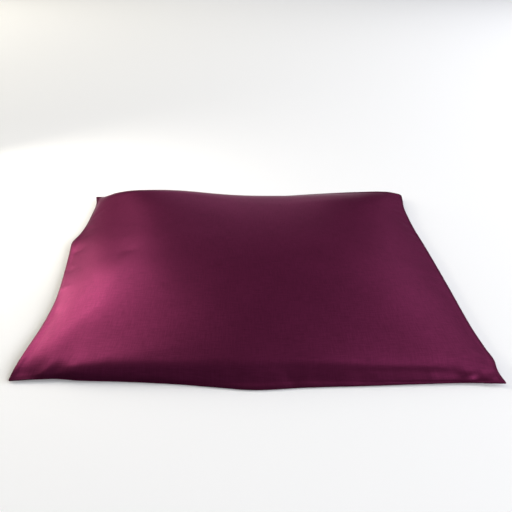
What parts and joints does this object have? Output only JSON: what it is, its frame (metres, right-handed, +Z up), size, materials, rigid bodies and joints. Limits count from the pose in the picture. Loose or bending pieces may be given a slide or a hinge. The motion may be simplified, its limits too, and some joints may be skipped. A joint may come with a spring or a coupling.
{
  "type": "zabuton floor cushion",
  "caption": "Wide flat stuffed floor cushion with a low crown, drawn-in sides, a plain sewn knife edge and flat pointed corners.",
  "frame": {"origin": "on the floor, under the middle of the cushion's bounding box", "axes": "+X along the long side, to the right as seen from the front edge; +Y from the front edge to the back edge; +Z up, out of the crown"},
  "size_m": [0.92, 0.7358, 0.0613],
  "materials": {
    "cover_cloth": "wine-coloured cotton sateen with a soft pink sheen"
  },
  "bodies": {
    "root": {"cushion": "cover_cloth"}
  },
  "joints": []
}
